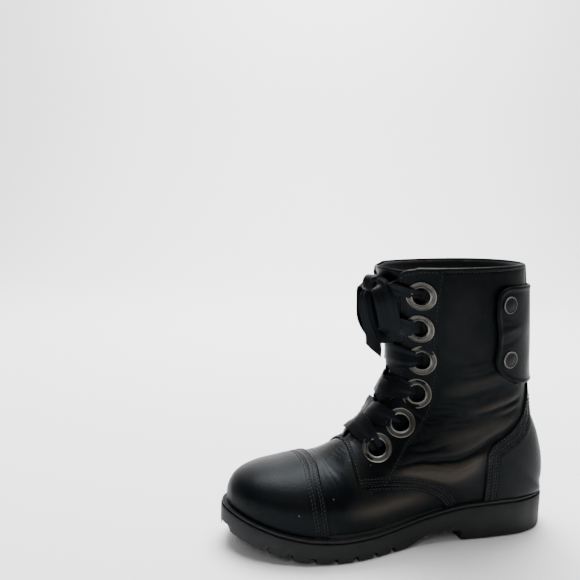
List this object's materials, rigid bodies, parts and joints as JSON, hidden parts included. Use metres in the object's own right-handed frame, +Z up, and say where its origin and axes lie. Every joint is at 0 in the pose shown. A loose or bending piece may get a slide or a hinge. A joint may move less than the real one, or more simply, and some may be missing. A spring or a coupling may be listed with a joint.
{
  "type": "combat boot",
  "caption": "Ankle-high laced leather combat boot for the left foot with a plain toe cap, wide ribbon lace, ring eyelets, a studded back strap and a lugged rubber sole.",
  "frame": {"origin": "on the floor, under the middle of the sole's bounding box", "axes": "+X from heel to toe, +Y to the wearer's left (the outer side of this left boot), +Z up the shaft"},
  "size_m": [0.288, 0.1056, 0.2308],
  "materials": {
    "leather": "semi-matte black grained leather, worn to grey-brown on the folds",
    "rubber": "matte near-black moulded rubber",
    "lining": "dark woven lining and footbed cloth",
    "ribbon": "black satin-woven flat ribbon",
    "metal": "gunmetal lacquer, satin"
  },
  "bodies": {
    "root": {"outsole": "rubber", "welt": "rubber", "insole": "lining", "upper": "leather", "tongue": "leather", "toe_cap": "leather", "heel_counter": "leather", "eyestay_lateral": "leather", "eyestay_medial": "leather", "back_strap": "leather", "lace_crossings": "ribbon", "lace_knot": "ribbon", "lace_loop_lateral": "ribbon", "lace_loop_medial": "ribbon", "lace_end_lateral": "ribbon", "lace_end_medial": "ribbon", "eyelet_lateral_1": "metal", "eyelet_lateral_2": "metal", "eyelet_lateral_3": "metal", "eyelet_lateral_4": "metal", "eyelet_lateral_5": "metal", "eyelet_lateral_6": "metal", "eyelet_medial_1": "metal", "eyelet_medial_2": "metal", "eyelet_medial_3": "metal", "eyelet_medial_4": "metal", "eyelet_medial_5": "metal", "eyelet_medial_6": "metal", "strap_stud_1": "metal", "strap_stud_2": "metal", "strap_stud_3": "metal", "strap_stud_4": "metal"}
  },
  "joints": []
}
